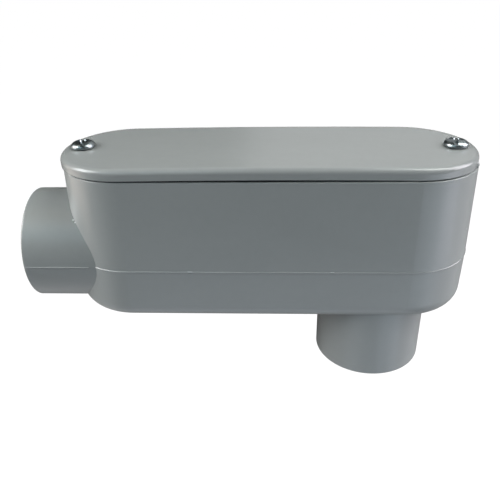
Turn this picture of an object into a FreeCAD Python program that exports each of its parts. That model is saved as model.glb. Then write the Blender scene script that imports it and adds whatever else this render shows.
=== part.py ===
import FreeCAD, Part
import math
import os
from FreeCAD import Vector

os.makedirs("parts", exist_ok=True)

# Non-metallic conduit body, type LB, for 3/4 in rigid PVC conduit.
# A hollow moulded box, obround in plan, is open at the top and closed by a
# gasketed cover with two screws.  One conduit hub leaves the left end, the
# other leaves the back (downwards) near the right end.
#
# Frame: the origin is the centre of the back hub's mouth.  +Z points from the
# back hub up to the cover, -X points out of the end hub, Y is the width.
# Everything is in millimetres.

# ---------------------------------------------------------------- conduit fit
SOCKET_R = 13.53        # socket wall radius, takes 26.67 mm (3/4 in) conduit
SOCKET_DEPTH = 18.3     # mouth to conduit stop
SOCKET_LEAD = 0.5       # entry chamfer
THROAT_R = 10.45        # wireway past the stop, equal to the conduit's own bore
THROAT_FLARE = 1.2      # rounded edge where wires leave the throat
HUB_R = 16.7            # hub outside radius
HUB_EDGE = 0.6          # rounding of the hub's outer mouth edge

# ------------------------------------------------------------------- body box
BODY_CX = -32.85        # middle of the box, measured from the back hub's axis
HALF_STRAIGHT = 40.35   # half of the straight flank, the ends are semicircles
RIM_Z = 65.9            # top of the rim
PART_Z = 38.9           # mould parting plane, on the end hub's axis
BACK_Z = 22.2           # outside of the back wall
RIM_R = 18.6            # outside radius of the semicircular end, at the rim
PART_R = 19.1           # the same at the parting plane (draft 1.25 degrees)
BACK_R = 18.85          # the same at the back wall, before its rounding
BACK_EDGE = 5.1         # rounding between flank and back wall
RIM_EDGE = 0.3          # rounding of the rim's outer edge
SEAM_OUT = 0.15         # the parting ridge stands this proud
SEAM_BASE = 0.22        # half height of the ridge at its foot
SEAM_CREST = 0.06       # half height of the ridge at its crest

WALL_RIM = 2.8          # wall at the rim
FLOOR_T = 3.0           # back wall thickness
CAVITY_R_FLOOR = 14.9   # inside radius at the floor (core draft)
CAVITY_EDGE = 3.0       # rounding between inner flank and floor

END_MOUTH_X = BODY_CX - 71.1    # mouth plane of the end hub
END_FACE_X = BODY_CX - 48.9     # flat inner face around the end hub's throat

# ------------------------------------------------------------- cover, gasket
TOP_Z = 69.75           # top face of the cover, where it bows highest
COVER_T = 3.2           # cover thickness
COVER_R = 18.7          # cover outside radius
COVER_SHIFT = -0.3      # the cover and its screws sit this far left of centre
COVER_TURN = 0.25       # degrees, within the clearance of its screw holes
BOW_R = 2978.0          # the screws pull the ends down: the cover's long arc
BOW_SHIFT = -5.0        # the arc is highest this far left of the middle
COVER_EDGE = 1.5        # rounding of the cover's top edge
COVER_LOW_EDGE = 0.3    # small rounding of its lower edge
SEAT_R = 18.1           # shallow seat for the gasket in the underside
SEAT_DEPTH = 0.4
LAND_GAP = 0.5          # between the gasket and the land it fits around
GASKET_OUT_R = 18.0
GASKET_IN_R = 14.9
GASKET_EAR_R = 4.4      # the ring widens round each screw
GASKET_HOLE_R = 2.0
COVER_HOLE_R = 2.3      # clearance hole for the screw
HEAD_SEAT_R = 3.6       # flat spot under each head
GATE_R = 0.95           # lump left by the mould's gate, low on the right end
GATE_OUT = 18.15        # its middle, from the axis of the cover's right end
GATE_AZIMUTH = -26.0    # degrees from +X
GATE_UP = 0.7           # its middle, above the cover's lower face

# --------------------------------------------------------------------- screws
SCREW_X = 53.0          # screw axes, either side of the cover's middle
SCREW_R = 1.75          # No. 6 thread, outside radius
SCREW_LEN = 12.7        # 1/2 in under the head
HEAD_R = 3.42
HEAD_H = 2.1
HEAD_EDGE = 1.35        # crown of the pan head
SLOT_W = 0.95
SLOT_D = 0.95
CROSS_LEN = 4.2
CROSS_D = 1.25
PILOT_R = 1.80          # boss hole, running clearance on the thread's outside
PILOT_DEPTH = 9.8
BOSS_R = 4.4
SLOT_ANGLE_LEFT = 100.0     # how far each screw happens to be turned
SLOT_ANGLE_RIGHT = 75.0

COVER_CX = BODY_CX + COVER_SHIFT
COVER_Z = TOP_Z - COVER_T
AXIS_Y = Vector(0, 1, 0)
AXIS_Z = Vector(0, 0, 1)
BOW_TOP = COVER_CX + BOW_SHIFT
BOW_AXIS = Vector(BOW_TOP, 0, TOP_Z - BOW_R)
ARC_RIGHT = HALF_STRAIGHT - BOW_SHIFT       # the ends beyond the arc are
ARC_LEFT = HALF_STRAIGHT + BOW_SHIFT        # straight and tilt with it
TILT_RIGHT = math.degrees(ARC_RIGHT / BOW_R)
TILT_LEFT = math.degrees(ARC_LEFT / BOW_R)


def cover_top(x):
    """Height of the cover's top face at x, beyond either end of its arc."""
    arc = ARC_RIGHT if x > BOW_TOP else ARC_LEFT
    tilt = arc / BOW_R
    return TOP_Z - BOW_R * (1 - math.cos(tilt)) \
        - (abs(x - BOW_TOP) - arc) * math.tan(tilt)


# ------------------------------------------------------------------- helpers
def rounded_wire(points, place):
    """Closed wire through (u, v, fillet) points; place maps u, v to space."""
    n = len(points)
    corner = []
    for i in range(n):
        u, v, r = points[i]
        p = Vector(u, v, 0)
        if r <= 0:
            corner.append((p, None, p))
            continue
        a = Vector(points[i - 1][0], points[i - 1][1], 0) - p
        b = Vector(points[(i + 1) % n][0], points[(i + 1) % n][1], 0) - p
        a.normalize()
        b.normalize()
        half = 0.5 * math.acos(max(-1.0, min(1.0, a.dot(b))))
        t = r / math.tan(half)
        bis = a + b
        bis.normalize()
        centre = p + bis * (r / math.sin(half))
        mid = centre - bis * r
        corner.append((p + a * t, mid, p + b * t))
    edges = []
    for i in range(n):
        first, mid, last = corner[i]
        if mid is not None:
            edges.append(Part.Arc(place(first.x, first.y), place(mid.x, mid.y),
                                  place(last.x, last.y)).toShape())
        nxt = corner[(i + 1) % n][0]
        if (nxt - last).Length > 1e-7:
            edges.append(Part.LineSegment(place(last.x, last.y),
                                          place(nxt.x, nxt.y)).toShape())
    return Part.Wire(edges)


def obround(profile, cx, half=HALF_STRAIGHT):
    """Solid whose ends are half turns of the profile and whose middle is the
    same profile drawn straight.  profile runs from the axis at the bottom out
    and back to the axis at the top, as (radius, z, fillet)."""
    end_face = Part.Face(rounded_wire(profile, lambda u, v: Vector(0, -u, v)))
    right = end_face.revolve(Vector(0, 0, 0), AXIS_Z, 180)
    left = right.copy()
    left.rotate(Vector(0, 0, 0), AXIS_Z, 180)
    right.translate(Vector(cx + half, 0, 0))
    left.translate(Vector(cx - half, 0, 0))
    flank = [p for p in profile if p[0] > 0]
    both = flank + [(-u, v, r) for (u, v, r) in reversed(flank)]
    mid_face = Part.Face(rounded_wire(both, lambda u, v: Vector(cx - half, u, v)))
    middle = mid_face.extrude(Vector(2 * half, 0, 0))
    return middle.fuse([right, left]).removeSplitter()


def bowed_obround(profile):
    """The same for the cover: the middle follows a long flat arc over X, and
    the ends tilt down with it.  Then the small turn about the cover's middle."""
    end_face = Part.Face(rounded_wire(profile,
                                      lambda u, v: Vector(BOW_TOP, -u, v)))
    right = end_face.revolve(Vector(BOW_TOP, 0, 0), AXIS_Z, 180)
    left = right.copy()
    left.rotate(Vector(BOW_TOP, 0, 0), AXIS_Z, 180)
    right.rotate(BOW_AXIS, AXIS_Y, TILT_RIGHT)
    left.rotate(BOW_AXIS, AXIS_Y, -TILT_LEFT)
    flank = [p for p in profile if p[0] > 0]
    both = flank + [(-u, v, r) for (u, v, r) in reversed(flank)]
    mid_face = Part.Face(rounded_wire(both, lambda u, v: Vector(BOW_TOP, u, v)))
    mid_face.rotate(BOW_AXIS, AXIS_Y, -TILT_LEFT)
    middle = mid_face.revolve(BOW_AXIS, AXIS_Y, TILT_LEFT + TILT_RIGHT)
    whole = middle.fuse([right, left])
    whole.rotate(Vector(COVER_CX, 0, 0), AXIS_Z, COVER_TURN)
    return whole


def turned(profile, origin, axis):
    """Solid of revolution.  profile is (distance along axis, radius, fillet)."""
    axis = Vector(axis)
    axis.normalize()
    side = Vector(0, 1, 0)
    place = lambda u, v: origin + axis * u + side * v
    face = Part.Face(rounded_wire(profile, place))
    return face.revolve(origin, axis, 360)


def solid_of(shape, name):
    """The one solid of a finished shape, checked."""
    solids = shape.Solids
    if len(solids) != 1:
        raise RuntimeError("%s has %d solids" % (name, len(solids)))
    s = solids[0]
    if not s.isValid():
        raise RuntimeError("%s is not valid" % name)
    return s


# ---------------------------------------------------------------------- body
outer = obround([
    (0, BACK_Z, 0),
    (BACK_R, BACK_Z, BACK_EDGE),
    (PART_R, PART_Z - SEAM_BASE, 0),
    (PART_R + SEAM_OUT, PART_Z - SEAM_CREST, 0),
    (PART_R + SEAM_OUT, PART_Z + SEAM_CREST, 0),
    (PART_R, PART_Z + SEAM_BASE, 0),
    (RIM_R, RIM_Z, RIM_EDGE),
    (0, RIM_Z, 0),
], BODY_CX)

# the end hub runs in to the flat inner face; the back hub runs in to the floor
end_origin = Vector(END_MOUTH_X, 0, PART_Z)
back_origin = Vector(0, 0, 0)
floor_z = BACK_Z + FLOOR_T
end_in = END_FACE_X - END_MOUTH_X
end_hub = turned([(0, 0, 0), (0, HUB_R, HUB_EDGE), (end_in, HUB_R, 0),
                  (end_in, 0, 0)], end_origin, (1, 0, 0))
back_hub = turned([(0, 0, 0), (0, HUB_R, HUB_EDGE), (floor_z, HUB_R, 0),
                   (floor_z, 0, 0)], back_origin, (0, 0, 1))

# parting ridge along both sides of the end hub
ridge_wire = Part.makePolygon([
    Vector(END_MOUTH_X + HUB_EDGE, -(HUB_R - 0.02), PART_Z - SEAM_BASE),
    Vector(END_MOUTH_X + HUB_EDGE, -(HUB_R + SEAM_OUT), PART_Z - SEAM_CREST),
    Vector(END_MOUTH_X + HUB_EDGE, -(HUB_R + SEAM_OUT), PART_Z + SEAM_CREST),
    Vector(END_MOUTH_X + HUB_EDGE, -(HUB_R - 0.02), PART_Z + SEAM_BASE),
    Vector(END_MOUTH_X + HUB_EDGE, (HUB_R - 0.02), PART_Z + SEAM_BASE),
    Vector(END_MOUTH_X + HUB_EDGE, (HUB_R + SEAM_OUT), PART_Z + SEAM_CREST),
    Vector(END_MOUTH_X + HUB_EDGE, (HUB_R + SEAM_OUT), PART_Z - SEAM_CREST),
    Vector(END_MOUTH_X + HUB_EDGE, (HUB_R - 0.02), PART_Z - SEAM_BASE),
    Vector(END_MOUTH_X + HUB_EDGE, -(HUB_R - 0.02), PART_Z - SEAM_BASE),
])
hub_ridge = Part.Face(ridge_wire).extrude(Vector(end_in - HUB_EDGE - 3.0, 0, 0))

body = outer.fuse([end_hub, back_hub, hub_ridge])

# wiring space, drafted for its core; at the left it stops at the hub's own
# collar, which is filled down to the floor below the hub's axis
wall_slope = (RIM_R - WALL_RIM - CAVITY_R_FLOOR) / (RIM_Z - floor_z)
over = 1.0
cavity = obround([
    (0, floor_z, 0),
    (CAVITY_R_FLOOR, floor_z, CAVITY_EDGE),
    (RIM_R - WALL_RIM + wall_slope * over, RIM_Z + over, 0),
    (0, RIM_Z + over, 0),
], BODY_CX)
collar = Part.makeCylinder(HUB_R, end_in, end_origin, Vector(1, 0, 0))
fill = Part.makeBox(end_in, 2 * HUB_R, PART_Z - BACK_Z + 1.0,
                    Vector(END_MOUTH_X, -HUB_R, BACK_Z - 1.0))
cavity = cavity.cut([collar, fill])

# screw bosses, moulded against the end walls
boss_x = (COVER_CX - SCREW_X, COVER_CX + SCREW_X)
boss_left_z = PART_Z + HUB_R - 4.0      # it ends inside the end hub's collar
boss_left = Part.makeCylinder(BOSS_R, RIM_Z + over - boss_left_z,
                              Vector(boss_x[0], 0, boss_left_z))
boss_right = Part.makeCylinder(BOSS_R, RIM_Z + over - (BACK_Z + 1.0),
                               Vector(boss_x[1], 0, BACK_Z + 1.0))
cavity = cavity.cut([boss_left, boss_right])
body = body.cut(cavity)


def bore_tool(origin, axis, inner):
    """Socket, conduit stop, throat and its flared inner edge."""
    return turned([
        (-1.0, 0, 0),
        (-1.0, SOCKET_R + SOCKET_LEAD, 0),
        (0.0, SOCKET_R + SOCKET_LEAD, 0),
        (SOCKET_LEAD, SOCKET_R, 0),
        (SOCKET_DEPTH, SOCKET_R, 0),
        (SOCKET_DEPTH, THROAT_R, 0),
        (inner, THROAT_R, THROAT_FLARE),
        (inner, THROAT_R + THROAT_FLARE + 0.6, 0),
        (inner + 0.5, THROAT_R + THROAT_FLARE + 0.6, 0),
        (inner + 0.5, 0, 0),
    ], origin, axis)


body = body.cut([
    bore_tool(end_origin, (1, 0, 0), end_in),
    bore_tool(back_origin, (0, 0, 1), floor_z),
])

# blind screw holes
for bx in boss_x:
    body = body.cut(Part.makeCylinder(PILOT_R, PILOT_DEPTH + over,
                                      Vector(bx, 0, RIM_Z - PILOT_DEPTH)))

# --------------------------------------------------------------------- cover
cover = bowed_obround([(0, COVER_Z, 0), (COVER_R, COVER_Z, COVER_LOW_EDGE),
                       (COVER_R, TOP_Z, COVER_EDGE), (0, TOP_Z, 0)])
seat = bowed_obround([(0, COVER_Z - 1, 0), (SEAT_R, COVER_Z - 1, 0),
                      (SEAT_R, COVER_Z + SEAT_DEPTH, 0),
                      (0, COVER_Z + SEAT_DEPTH, 0)])
# the land left standing inside the seat, short of the gasket's ears, which
# keeps the gasket's long sides in place
land_half = SCREW_X - GASKET_EAR_R - LAND_GAP - (GASKET_IN_R - LAND_GAP)
land = obround([(0, COVER_Z - 2, 0), (GASKET_IN_R - LAND_GAP, COVER_Z - 2, 0),
                (GASKET_IN_R - LAND_GAP, COVER_Z + 2, 0),
                (0, COVER_Z + 2, 0)], COVER_CX, land_half)
cover = cover.cut(seat.cut(land))
gate_a = math.radians(GATE_AZIMUTH)
gate_x = COVER_CX + HALF_STRAIGHT + GATE_OUT * math.cos(gate_a)
gate_low = cover_top(gate_x) - COVER_T
gate = Part.makeSphere(GATE_R, Vector(gate_x, GATE_OUT * math.sin(gate_a),
                                      gate_low + GATE_UP))
gate = gate.cut(Part.makeBox(4, 4, 2, Vector(
    gate_x - 2, GATE_OUT * math.sin(gate_a) - 2, gate_low + 0.12 - 2)))
cover = cover.fuse(gate)

# -------------------------------------------------------------------- gasket
# its lower face lies on the flat rim, its upper face follows the cover's seat
above = bowed_obround([(0, COVER_Z + SEAT_DEPTH, 0),
                       (COVER_R, COVER_Z + SEAT_DEPTH, 0),
                       (COVER_R, TOP_Z, 0), (0, TOP_Z, 0)])
ring = bowed_obround([(0, COVER_Z - 3, 0), (GASKET_OUT_R, COVER_Z - 3, 0),
                      (GASKET_OUT_R, COVER_Z + 1, 0), (0, COVER_Z + 1, 0)])
inner = bowed_obround([(0, COVER_Z - 4, 0), (GASKET_IN_R, COVER_Z - 4, 0),
                       (GASKET_IN_R, COVER_Z + 2, 0), (0, COVER_Z + 2, 0)])
for bx in boss_x:
    inner = inner.cut(Part.makeCylinder(GASKET_EAR_R, 12,
                                        Vector(bx, 0, COVER_Z - 6)))
below = Part.makeBox(160, 60, 6, Vector(BODY_CX - 80, -30, RIM_Z - 6))
gasket = ring.cut([inner, above, below])

for bx in boss_x:
    gasket = gasket.cut(Part.makeCylinder(GASKET_HOLE_R, 12,
                                          Vector(bx, 0, COVER_Z - 6)))
    cover = cover.cut([
        Part.makeCylinder(COVER_HOLE_R, 12, Vector(bx, 0, COVER_Z - 6)),
        Part.makeCylinder(HEAD_SEAT_R, 3, Vector(bx, 0, cover_top(bx)))])


# -------------------------------------------------------------------- screws
def make_screw(x, angle):
    """Pan head screw, plain outside its thread, with a combined recess."""
    head_z = cover_top(x)
    origin = Vector(x, 0, head_z)
    blank = turned([
        (-SCREW_LEN, 0, 0),
        (-SCREW_LEN, 0.45, 0.2),
        (-SCREW_LEN + 2.6, SCREW_R, 0),
        (0, SCREW_R, 0),
        (0, HEAD_R, 0.12),
        (HEAD_H, HEAD_R, HEAD_EDGE),
        (HEAD_H, 0, 0),
    ], origin, (0, 0, 1))
    top = head_z + HEAD_H
    slot = Part.makeBox(2 * HEAD_R + 1, SLOT_W, SLOT_D + 1,
                        Vector(x - HEAD_R - 0.5, -SLOT_W / 2, top - SLOT_D))
    cross = Part.makeBox(SLOT_W, CROSS_LEN, CROSS_D + 1,
                         Vector(x - SLOT_W / 2, -CROSS_LEN / 2, top - CROSS_D))
    pit = Part.makeCone(0.35, 1.25, 1.9, Vector(x, 0, top - 1.85), AXIS_Z)
    recess = slot.fuse([cross, pit])
    recess.rotate(origin, AXIS_Z, angle)
    return blank.cut(recess)


screw_left = make_screw(boss_x[0], SLOT_ANGLE_LEFT)
screw_right = make_screw(boss_x[1], SLOT_ANGLE_RIGHT)

# -------------------------------------------------------------------- export
for name, shape in (("body", body), ("gasket", gasket), ("cover", cover),
                    ("screw_left", screw_left), ("screw_right", screw_right)):
    solid = solid_of(shape, name)
    solid.exportStep("parts/%s.step" % name)
    box = solid.BoundBox
    print("%-12s %9.1f mm3  x %.2f..%.2f  y %.2f..%.2f  z %.2f..%.2f" % (
        name, solid.Volume, box.XMin, box.XMax, box.YMin, box.YMax,
        box.ZMin, box.ZMax))
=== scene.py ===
import bpy, bmesh, math
from mathutils import Vector, Matrix


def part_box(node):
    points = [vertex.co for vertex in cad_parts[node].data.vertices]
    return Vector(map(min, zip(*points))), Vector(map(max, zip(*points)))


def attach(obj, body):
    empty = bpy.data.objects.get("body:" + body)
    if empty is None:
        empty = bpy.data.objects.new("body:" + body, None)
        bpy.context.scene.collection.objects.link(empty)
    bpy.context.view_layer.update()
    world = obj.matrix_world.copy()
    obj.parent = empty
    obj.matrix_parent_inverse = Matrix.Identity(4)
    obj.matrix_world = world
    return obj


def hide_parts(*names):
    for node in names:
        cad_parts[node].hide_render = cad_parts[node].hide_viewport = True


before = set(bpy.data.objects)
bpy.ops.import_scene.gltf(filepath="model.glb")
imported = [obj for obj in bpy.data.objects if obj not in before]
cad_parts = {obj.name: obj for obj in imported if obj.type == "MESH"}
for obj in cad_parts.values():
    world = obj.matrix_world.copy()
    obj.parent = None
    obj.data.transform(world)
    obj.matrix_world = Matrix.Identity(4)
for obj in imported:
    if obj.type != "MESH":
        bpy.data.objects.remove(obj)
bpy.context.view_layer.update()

MM = 0.001

# ------------------------------------------------------------------ positions
b_lo, b_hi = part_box("body")
c_lo, c_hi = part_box("cover")
s_lo, s_hi = {}, {}
for n in ("screw_left", "screw_right"):
    s_lo[n], s_hi[n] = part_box(n)
COVER_TOP = c_hi[2]


# ------------------------------------------------------------------ materials
def material(name):
    m = bpy.data.materials.new(name)
    m.use_nodes = True
    nt = m.node_tree
    for n in list(nt.nodes):
        if n.type not in {"OUTPUT_MATERIAL", "BSDF_PRINCIPLED"}:
            nt.nodes.remove(n)
    bsdf = next(n for n in nt.nodes if n.type == "BSDF_PRINCIPLED")
    return m, nt, bsdf


def add(nt, kind, **props):
    n = nt.nodes.new(kind)
    for k, v in props.items():
        if k.startswith("in_"):
            key = k[3:]
            key = int(key) if key.isdigit() else key.replace("_", " ")
            n.inputs[key].default_value = v
        else:
            setattr(n, k, v)
    return n


def math_node(nt, op, a, b=None, clamp=False):
    n = nt.nodes.new("ShaderNodeMath")
    n.operation = op
    n.use_clamp = clamp
    for i, v in enumerate((a, b)):
        if v is None:
            continue
        if hasattr(v, "links"):
            nt.links.new(v, n.inputs[i])
        else:
            n.inputs[i].default_value = v
    return n.outputs[0]


def ramp(nt, fac, lo, hi, a, b, smooth=True):
    n = nt.nodes.new("ShaderNodeMapRange")
    n.interpolation_type = "SMOOTHSTEP" if smooth else "LINEAR"
    nt.links.new(fac, n.inputs["Value"])
    n.inputs["From Min"].default_value = lo
    n.inputs["From Max"].default_value = hi
    n.inputs["To Min"].default_value = a
    n.inputs["To Max"].default_value = b
    return n.outputs["Result"]


def spot(nt, vec, centre, radii):
    """1 inside a small ellipsoid round a point on the surface, 0 outside."""
    d = add(nt, "ShaderNodeVectorMath", operation="SUBTRACT")
    nt.links.new(vec, d.inputs[0])
    d.inputs[1].default_value = centre
    k = add(nt, "ShaderNodeVectorMath", operation="DIVIDE")
    nt.links.new(d.outputs["Vector"], k.inputs[0])
    k.inputs[1].default_value = radii
    n = add(nt, "ShaderNodeVectorMath", operation="LENGTH")
    nt.links.new(k.outputs["Vector"], n.inputs[0])
    return ramp(nt, n.outputs["Value"], 0.55, 1.0, 1.0, 0.0)


def pvc(name, base, rough, peel, flecks_and_painted_light=(), grain=1.0):
    """Semi-gloss injection-moulded PVC: pigment that is not quite even, a
    faint flow mottle, orange peel, and a fine satin grain."""
    m, nt, bsdf = material(name)
    L = nt.links.new
    tc = add(nt, "ShaderNodeTexCoord")
    vec = tc.outputs["Object"]
    # slow pigment drift, drawn out along the flow of the plastic
    stretch = add(nt, "ShaderNodeMapping")
    stretch.inputs["Scale"].default_value = (0.45, 1.0, 1.0)
    L(vec, stretch.inputs["Vector"])
    drift = add(nt, "ShaderNodeTexNoise", in_Scale=55.0, in_Detail=3.0, in_Roughness=0.55)
    L(stretch.outputs[0], drift.inputs["Vector"])
    mottle = add(nt, "ShaderNodeTexNoise", in_Scale=420.0, in_Detail=4.0, in_Roughness=0.6)
    L(vec, mottle.inputs["Vector"])
    dust = add(nt, "ShaderNodeTexNoise", in_Scale=2600.0, in_Detail=2.0, in_Roughness=0.5)
    L(vec, dust.inputs["Vector"])
    v = math_node(nt, "ADD", ramp(nt, drift.outputs["Fac"], 0.3, 0.7, 0.985, 1.015),
                  ramp(nt, mottle.outputs["Fac"], 0.3, 0.7, -0.008, 0.008))
    v = math_node(nt, "ADD", v, ramp(nt, dust.outputs["Fac"], 0.70, 0.82, 0.0, 0.02))
    col = add(nt, "ShaderNodeVectorMath", operation="SCALE")
    col.inputs[0].default_value = base
    L(v, col.inputs["Scale"])
    out = col.outputs["Vector"]
    # listed marks mixed into the colour: real flecks, plus painted highlight and painted shade
    # around small nicks
    for centre, radii, colour in flecks_and_painted_light:
        mix = add(nt, "ShaderNodeMix", data_type="RGBA")
        L(spot(nt, vec, [c * MM for c in centre], [r * MM for r in radii]),
          mix.inputs["Factor"])
        L(out, mix.inputs["A"])
        mix.inputs["B"].default_value = (*colour, 1)
        out = mix.outputs["Result"]
    L(out, bsdf.inputs["Base Color"])
    # gloss varies a little where the tool's polish does
    rn = add(nt, "ShaderNodeTexNoise", in_Scale=130.0, in_Detail=3.0, in_Roughness=0.6)
    L(vec, rn.inputs["Vector"])
    L(ramp(nt, rn.outputs["Fac"], 0.3, 0.7, rough - 0.015, rough + 0.02), bsdf.inputs["Roughness"])
    bsdf.inputs["IOR"].default_value = 1.5
    # surface: orange peel over a finer satin grain
    p = add(nt, "ShaderNodeTexNoise", in_Scale=330.0, in_Detail=2.0, in_Roughness=0.45)
    L(vec, p.inputs["Vector"])
    g = add(nt, "ShaderNodeTexNoise", in_Scale=3800.0, in_Detail=2.0, in_Roughness=0.5)
    L(vec, g.inputs["Vector"])
    b1 = add(nt, "ShaderNodeBump", in_Strength=1.0, in_Distance=peel)
    L(p.outputs["Fac"], b1.inputs["Height"])
    b2 = add(nt, "ShaderNodeBump", in_Strength=1.0, in_Distance=0.0000012 * grain)
    L(g.outputs["Fac"], b2.inputs["Height"])
    L(b1.outputs["Normal"], b2.inputs["Normal"])
    L(b2.outputs["Normal"], bsdf.inputs["Normal"])
    return m


def rubber(name):
    m, nt, bsdf = material(name)
    L = nt.links.new
    tc = add(nt, "ShaderNodeTexCoord")
    n = add(nt, "ShaderNodeTexNoise", in_Scale=1500.0, in_Detail=4.0, in_Roughness=0.6)
    L(tc.outputs["Object"], n.inputs["Vector"])
    v = ramp(nt, n.outputs["Fac"], 0.3, 0.7, 0.75, 1.3)
    col = add(nt, "ShaderNodeVectorMath", operation="SCALE")
    col.inputs[0].default_value = (0.009, 0.009, 0.0095)
    L(v, col.inputs["Scale"])
    L(col.outputs["Vector"], bsdf.inputs["Base Color"])
    L(ramp(nt, n.outputs["Fac"], 0.3, 0.7, 0.62, 0.85), bsdf.inputs["Roughness"])
    cells = add(nt, "ShaderNodeTexVoronoi", in_Scale=2600.0)
    L(tc.outputs["Object"], cells.inputs["Vector"])
    b = add(nt, "ShaderNodeBump", in_Strength=0.6, in_Distance=0.00003)
    L(cells.outputs["Distance"], b.inputs["Height"])
    L(b.outputs["Normal"], bsdf.inputs["Normal"])
    return m


def zinc(name):
    """Bright zinc plate on a cold-headed screw: faint crystalline mottle in colour
    and gloss, over a fine grain in the bump."""
    m, nt, bsdf = material(name)
    L = nt.links.new
    tc = add(nt, "ShaderNodeTexCoord")
    vec = tc.outputs["Object"]
    n = add(nt, "ShaderNodeTexNoise", in_Scale=1400.0, in_Detail=4.0, in_Roughness=0.6)
    L(vec, n.inputs["Vector"])
    v = ramp(nt, n.outputs["Fac"], 0.3, 0.7, 0.90, 1.06)
    col = add(nt, "ShaderNodeVectorMath", operation="SCALE")
    col.inputs[0].default_value = (0.28, 0.315, 0.325)
    L(v, col.inputs["Scale"])
    L(col.outputs["Vector"], bsdf.inputs["Base Color"])
    bsdf.inputs["Metallic"].default_value = 1.0
    L(ramp(nt, n.outputs["Fac"], 0.3, 0.7, 0.28, 0.38), bsdf.inputs["Roughness"])
    f = add(nt, "ShaderNodeTexNoise", in_Scale=5200.0, in_Detail=2.0, in_Roughness=0.5)
    L(vec, f.inputs["Vector"])
    b = add(nt, "ShaderNodeBump", in_Strength=1.0, in_Distance=0.000004)
    L(f.outputs["Fac"], b.inputs["Height"])
    L(b.outputs["Normal"], bsdf.inputs["Normal"])
    return m


BODY_COLOUR = (0.221, 0.232, 0.229)
COVER_COLOUR = (0.222, 0.232, 0.228)
# scuffs in the hub's corner with a fleck of painted shade among them, one on the right end,
# and two short nicks along the seam: a painted highlight on the lip with painted shadow under it
PALE, GREY, PAINTED_SHADE_DARK = (0.55, 0.56, 0.56), (0.34, 0.345, 0.345), (0.055, 0.06, 0.062)
FLECKS_AND_PAINTED_LIGHT = [((-88.85, -11.05, 51.50), (0.36, 0.36, 0.28), PALE),
         ((-88.20, -11.65, 51.00), (0.34, 0.34, 0.28), PALE),
         ((-88.62, -11.28, 50.90), (0.34, 0.34, 0.26), PAINTED_SHADE_DARK),
         ((-86.70, -12.75, 50.95), (0.32, 0.32, 0.26), GREY),
         ((23.27, -10.40, 48.40), (0.34, 0.34, 0.34), (0.44, 0.45, 0.46)),
         ((22.75, -11.20, 47.75), (0.26, 0.26, 0.26), (0.34, 0.345, 0.35)),
         # seam nicks: lighter colour is a painted highlight on the lip, the dark one under it is
         # painted shadow
         ((-54.90, -19.10, 39.08), (0.95, 0.5, 0.20), (0.36, 0.37, 0.375)),
         ((-54.90, -19.10, 38.74), (0.95, 0.5, 0.18), PAINTED_SHADE_DARK),
         ((-14.72, -19.10, 39.06), (0.75, 0.5, 0.18), (0.36, 0.37, 0.375)),
         ((-14.72, -19.10, 38.74), (0.75, 0.5, 0.16), PAINTED_SHADE_DARK)]
mat_body = pvc("pvc_body", BODY_COLOUR, 0.29, 0.0000015, FLECKS_AND_PAINTED_LIGHT)
mat_cover = pvc("pvc_cover", COVER_COLOUR, 0.25, 0.0000015)
mat_gasket = rubber("gasket_rubber")
mat_zinc = zinc("zinc_plate")


def dress(node, mat):
    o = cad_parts[node]
    for i in range(len(o.material_slots)):
        o.material_slots[i].material = mat
    if not o.material_slots:
        o.data.materials.append(mat)


dress("body", mat_body)
dress("cover", mat_cover)
dress("gasket", mat_gasket)
dress("screw_left", mat_zinc)
dress("screw_right", mat_zinc)

# --------------------------------------------------------------------- screws
PITCH = 1.27 * MM                    # 20 turns to the inch
ROOT_R, CREST_R = 1.22 * MM, 1.745 * MM
HEAD_R, HEAD_H = 3.42 * MM, 2.10 * MM


def mesh_object(name, bm, smooth_deg=35.0):
    me = bpy.data.meshes.new(name)
    bm.normal_update()
    bm.to_mesh(me)
    bm.free()
    for poly in me.polygons:
        poly.use_smooth = True
    me.set_sharp_from_angle(angle=math.radians(smooth_deg))
    o = bpy.data.objects.new(name, me)
    bpy.context.scene.collection.objects.link(o)
    return o


def lathe(bm, profile, x, segments):
    """Closed surface of revolution from (radius, z) points, axis to axis."""
    rings = []
    for r, z in profile:
        if r < 1e-9:
            rings.append([bm.verts.new((x, 0, z))])
        else:
            rings.append([bm.verts.new((x + r * math.cos(2 * math.pi * i / segments),
                                        r * math.sin(2 * math.pi * i / segments), z))
                          for i in range(segments)])
    for lo, hi in zip(rings, rings[1:]):
        for i in range(segments):
            j = (i + 1) % segments
            if len(lo) == 1:
                bm.faces.new((lo[0], hi[j], hi[i]))
            elif len(hi) == 1:
                bm.faces.new((lo[i], lo[j], hi[0]))
            else:
                bm.faces.new((lo[i], lo[j], hi[j], hi[i]))


def prism(bm, corners_lo, corners_hi):
    """Closed block between two outlines with the same number of corners."""
    lo = [bm.verts.new(c) for c in corners_lo]
    hi = [bm.verts.new(c) for c in corners_hi]
    n = len(lo)
    bm.faces.new(list(reversed(lo)))
    bm.faces.new(hi)
    for i in range(n):
        j = (i + 1) % n
        bm.faces.new((lo[i], lo[j], hi[j], hi[i]))


def cut(o, tool):
    m = o.modifiers.new("cut", "BOOLEAN")
    m.operation = "DIFFERENCE"
    m.solver = "EXACT"
    m.object = tool


def freeze(o):
    """Keeps what the modifiers made and drops them."""
    dg = bpy.context.evaluated_depsgraph_get()
    me = bpy.data.meshes.new_from_object(o.evaluated_get(dg))
    o.modifiers.clear()
    old = o.data
    o.data = me
    bpy.data.meshes.remove(old)


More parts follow.
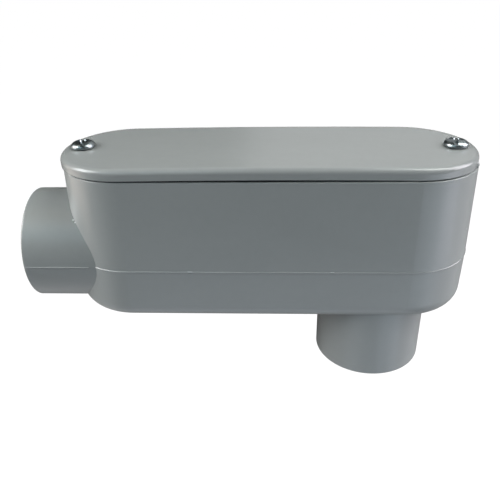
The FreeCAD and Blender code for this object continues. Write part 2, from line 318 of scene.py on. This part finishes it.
def screw_head(name, x, base, top, angle):
    """Pan head with a driver slot right across and a cross recess."""
    land = 0.52 * MM                 # height of the rolled lower edge
    pts = [(0, base - 0.25 * MM), (1.60 * MM, base - 0.25 * MM), (1.75 * MM, base),
           (2.35 * MM, base + 0.02 * MM), (HEAD_R - 0.62 * MM, base + 0.16 * MM),
           (HEAD_R - 0.26 * MM, base + 0.25 * MM), (HEAD_R - 0.12 * MM, base + 0.31 * MM),
           (HEAD_R - 0.03 * MM, base + 0.40 * MM)]
    # a broad dome, fuller than an ellipse
    steps, full = 28, 2 / 2.35
    for i in range(steps + 1):
        t = math.radians(90.0 * i / steps)
        r = HEAD_R * max(0.0, math.cos(t)) ** full
        if r > 0.12 * MM:
            pts.append((r, base + land + (top - base - land) * math.sin(t) ** full))
    pts.append((0, top))
    bm = bmesh.new()
    lathe(bm, pts, x, 96)
    head = mesh_object(name, bm)

    turn = Matrix.Rotation(math.radians(angle), 3, "Z")

    def at(px, py, z):
        v = turn @ Vector((px, py, 0))
        return (x + v.x, v.y, z)

    def wing(half_top, half_bot, w_top, w_bot, z_top, z_bot, across):
        """One bar of the recess, narrower at its floor, open above the head."""
        above = 1.0 * MM
        k = above / (z_top - z_bot)
        ht, hb = half_top + (half_top - half_bot) * k, half_bot
        wt, wb = w_top + (w_top - w_bot) * k, w_bot
        def outline(h, w, z):
            c = [(-h, -w), (h, -w), (h, w), (-h, w)]
            if across:
                c = [(-b, a) for a, b in c]
            return [at(a, b, z) for a, b in c]
        t = bmesh.new()
        prism(t, outline(hb, wb, z_bot), outline(ht, wt, z_top + above))
        return mesh_object(name + "_tool", t)

    tools = [
        wing(HEAD_R + MM, HEAD_R + MM, 0.50 * MM, 0.44 * MM, top, top - 0.95 * MM, False),
        wing(2.10 * MM, 1.10 * MM, 0.47 * MM, 0.36 * MM, top, top - 1.45 * MM, True),
        wing(2.10 * MM, 1.10 * MM, 0.47 * MM, 0.36 * MM, top, top - 1.45 * MM, False),
    ]
    pit = bmesh.new()
    lathe(pit, [(0, top - 1.80 * MM), (0.30 * MM, top - 1.70 * MM),
                (1.45 * MM, top + 1.0 * MM), (0, top + 1.0 * MM)], x, 48)
    tools.append(mesh_object(name + "_pit", pit))
    for t in tools:
        cut(head, t)
    freeze(head)
    for t in tools:
        bpy.data.objects.remove(t)
    bev = head.modifiers.new("worn_edges", "BEVEL")
    bev.limit_method = "ANGLE"
    bev.angle_limit = math.radians(38)
    bev.width = 0.055 * MM
    bev.segments = 3
    bev.use_clamp_overlap = True
    freeze(head)
    for poly in head.data.polygons:
        poly.use_smooth = True
    head.data.set_sharp_from_angle(angle=math.radians(40))
    return head


def screw_shank(name, x, top, tip):
    """Rolled thread on one long helical strip, run out under the head and
    tapering to a blunt point."""
    seg, prof = 48, 8
    # radius across one pitch: sharp flank, flat crest, rounded root
    shape = [0.0, 0.10, 0.42, 0.86, 1.0, 1.0, 0.62, 0.22]
    turns = int(math.ceil((top - tip) / PITCH)) + 1
    z0 = tip - PITCH
    run_out = top - 0.9 * MM
    grid = {}
    bm = bmesh.new()
    count = (turns + 1) * seg
    for n in range(count + 1):
        a = 2 * math.pi * n / seg
        for k in range(prof):
            z = z0 + PITCH * (n / seg + k / prof)
            zz = min(max(z, tip), top)
            fade = min(1.0, max(0.0, (run_out + 0.7 * MM - zz) / (0.7 * MM)))
            r = ROOT_R + (CREST_R - ROOT_R) * shape[k] * fade
            up_tip = (zz - tip) / (2.6 * MM)
            r *= 0.30 + 0.70 * min(1.0, up_tip) ** 0.8
            if zz >= run_out:
                r = max(r, ROOT_R + 0.12 * MM)
            grid[n, k] = bm.verts.new((x + r * math.cos(a), r * math.sin(a), zz))
    for n in range(count):
        for k in range(prof):
            a, b = (n, k), (n + 1, k)
            if k + 1 < prof:
                c, d = (n + 1, k + 1), (n, k + 1)
            else:
                c, d = (n + 1 + seg, 0), (n + seg, 0)
            if c in grid and d in grid:
                bm.faces.new((grid[a], grid[b], grid[c], grid[d]))
    bmesh.ops.remove_doubles(bm, verts=bm.verts, dist=1e-7)
    bmesh.ops.dissolve_degenerate(bm, edges=bm.edges, dist=1e-7)
    for zc in (tip, top):
        flat = [f for f in bm.faces if all(abs(v.co.z - zc) < 1e-8 for v in f.verts)]
        bmesh.ops.delete(bm, geom=flat, context="FACES")
    loose = [e for e in bm.edges if not e.link_faces]
    bmesh.ops.delete(bm, geom=loose, context="EDGES")
    rim = [e for e in bm.edges if e.is_boundary]
    bmesh.ops.holes_fill(bm, edges=rim, sides=0)
    bmesh.ops.recalc_face_normals(bm, faces=bm.faces)
    return mesh_object(name, bm, 50.0)


def join(name, parts):
    bm = bmesh.new()
    for o in parts:
        bm.from_mesh(o.data)
    me = bpy.data.meshes.new(name)
    bm.to_mesh(me)
    bm.free()
    for poly in me.polygons:
        poly.use_smooth = True
    me.set_sharp_from_angle(angle=math.radians(40))
    o = bpy.data.objects.new(name, me)
    bpy.context.scene.collection.objects.link(o)
    for part in parts:
        bpy.data.objects.remove(part)
    return o


screws = {}
for node, angle in (("screw_left", 100.0), ("screw_right", 75.0)):
    lo, hi = s_lo[node], s_hi[node]
    sx = (lo[0] + hi[0]) / 2
    base = hi[2] - HEAD_H
    head = screw_head(node + "_head", sx, base, hi[2], angle)
    shank = screw_shank(node + "_shank", sx, base + 0.1 * MM, lo[2])
    o = join(node + "_detail", [head, shank])
    o.data.materials.append(mat_zinc)
    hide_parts(node)
    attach(o, node)
    screws[node] = o

# --------------------------------------------------------------------- camera
LENS_PX = 576.17
yaw, pitch, roll = (math.radians(a) for a in (2.854, 29.118, -1.266))
fwd = Vector((-math.sin(yaw) * math.cos(pitch), math.cos(yaw) * math.cos(pitch), -math.sin(pitch)))
right = Vector((math.cos(yaw), math.sin(yaw), 0.0))
up = right.cross(fwd)
r2 = math.cos(roll) * right + math.sin(roll) * up
u2 = -math.sin(roll) * right + math.cos(roll) * up
cam_data = bpy.data.cameras.new("camera")
cam = bpy.data.objects.new("camera", cam_data)
bpy.context.scene.collection.objects.link(cam)
cam.matrix_world = Matrix(((r2.x, u2.x, -fwd.x, -0.030801),
                           (r2.y, u2.y, -fwd.y, -0.15781),
                           (r2.z, u2.z, -fwd.z, 0.123578),
                           (0, 0, 0, 1)))
cam_data.sensor_width = 36.0
cam_data.lens = LENS_PX / 500 * 36.0
cam_data.clip_start = 0.01
cam_data.clip_end = 100.0
bpy.context.scene.camera = cam

# ---------------------------------------------------------------------- stage
FLOOR_Z = -0.16


def stage_disc(name, radius, z):
    me = bpy.data.meshes.new(name)
    bm = bmesh.new()
    bmesh.ops.create_circle(bm, cap_ends=True, segments=96, radius=radius)
    bm.to_mesh(me)
    bm.free()
    o = bpy.data.objects.new(name, me)
    o.location = (0, 0, z)
    bpy.context.scene.collection.objects.link(o)
    return o


floor = stage_disc("floor", 60.0, FLOOR_Z)
m, nt, bsdf = material("floor_white")
bsdf.inputs["Base Color"].default_value = (0.06, 0.06, 0.06, 1)
bsdf.inputs["Roughness"].default_value = 0.9
bsdf.inputs["Specular IOR Level"].default_value = 0.1
bsdf.inputs["Emission Color"].default_value = (1, 1, 1, 1)
bsdf.inputs["Emission Strength"].default_value = 1.0      # a lit table top
floor.data.materials.append(m)
# the table top is far brighter than the room: it doesn't light the object
floor.visible_diffuse = False
floor.visible_glossy = False

# a plain wall all round, as white as the floor: a backdrop for low views
me = bpy.data.meshes.new("wall")
bm = bmesh.new()
bmesh.ops.create_cone(bm, cap_ends=False, segments=96, radius1=4.0, radius2=4.0,
                      depth=6.0)
bm.to_mesh(me)
bm.free()
wall = bpy.data.objects.new("wall", me)
wall.location = (0, 0, FLOOR_Z + 3.0)
bpy.context.scene.collection.objects.link(wall)
wall.data.materials.append(m)
wall.visible_diffuse = False
wall.visible_glossy = False
wall.visible_shadow = False


def area(name, loc, target, size, power, colour=(1, 1, 1), size_y=None):
    d = bpy.data.lights.new(name, "AREA")
    d.shape = "RECTANGLE"
    d.size = size
    d.size_y = size_y or size
    d.energy = power
    d.color = colour
    o = bpy.data.objects.new(name, d)
    o.location = loc
    o.rotation_euler = (Vector(target) - Vector(loc)).to_track_quat("-Z", "Y").to_euler()
    bpy.context.scene.collection.objects.link(o)
    return o


CENTRE = Vector((-0.035, 0.0, 0.045))


def softbox(name, azimuth, elevation, distance, size, radiance, colour=(1, 1, 1)):
    """Square softbox aimed at the object. Azimuth 0 is +X, 90 is +Y."""
    a, e = math.radians(azimuth), math.radians(elevation)
    loc = CENTRE + distance * Vector((math.cos(a) * math.cos(e),
                                      math.sin(a) * math.cos(e), math.sin(e)))
    return area(name, loc, CENTRE, size, radiance * math.pi * size * size, colour)


softbox("key_right", 0, 60, 0.50, 0.25, 9.32, (0.98, 1.03, 0.99))
softbox("side_right", 0, 28, 0.45, 0.25, 8.60, (1.01, 0.97, 1.03))
softbox("side_left", 195, 28, 0.45, 0.25, 12.27, (0.98, 1.0, 1.02))
softbox("high_left", 195, 45, 0.35, 0.25, 0.71, (1.1, 1.0, 0.8))
softbox("level_left", 180, 0, 0.30, 0.20, 1.60, (1.15, 0.98, 0.86))
softbox("low_right", 340, -15, 0.50, 0.20, 1.85, (0.93, 0.97, 1.11))
softbox("fill_front", 240, 38, 0.50, 0.30, 1.13, (0.75, 1.08, 1.2))
softbox("card_front", 315, -25, 0.32, 0.20, 1.60, (0.88, 1.0, 1.11))
softbox("card_under", 270, -55, 0.20, 0.20, 0.83, (0.92, 0.99, 1.09))
area("back", (0.10, 0.40, 0.35), CENTRE, 0.40, 0.56 * math.pi * 0.16)

# the room: dark, but for the glow of the table top at either side
world = bpy.data.worlds.new("world")
bpy.context.scene.world = world
world.use_nodes = True
wt = world.node_tree
back = wt.nodes["Background"]
back.inputs["Color"].default_value = (1, 1, 1, 1)
ray = wt.nodes.new("ShaderNodeTexCoord")
glow = None
for side, fall, narrow, strength in ((1.0, 30, 3.0, 0.88), (-1.0, 60, 6.0, 0.95)):
    dot = wt.nodes.new("ShaderNodeVectorMath")
    dot.operation = "DOT_PRODUCT"
    wt.links.new(ray.outputs["Generated"], dot.inputs[0])
    dot.inputs[1].default_value = (side * math.cos(math.radians(fall)), 0.0,
                                   -math.sin(math.radians(fall)))
    v = math_node(wt, "POWER", math_node(wt, "MAXIMUM", dot.outputs["Value"], 0.0), narrow)
    v = math_node(wt, "MULTIPLY", v, strength)
    glow = v if glow is None else math_node(wt, "ADD", glow, v)
wt.links.new(glow, back.inputs["Strength"])

vs = bpy.context.scene.view_settings
vs.view_transform = "Standard"
vs.look = "None"
vs.exposure = 0.0
vs.gamma = 1.0
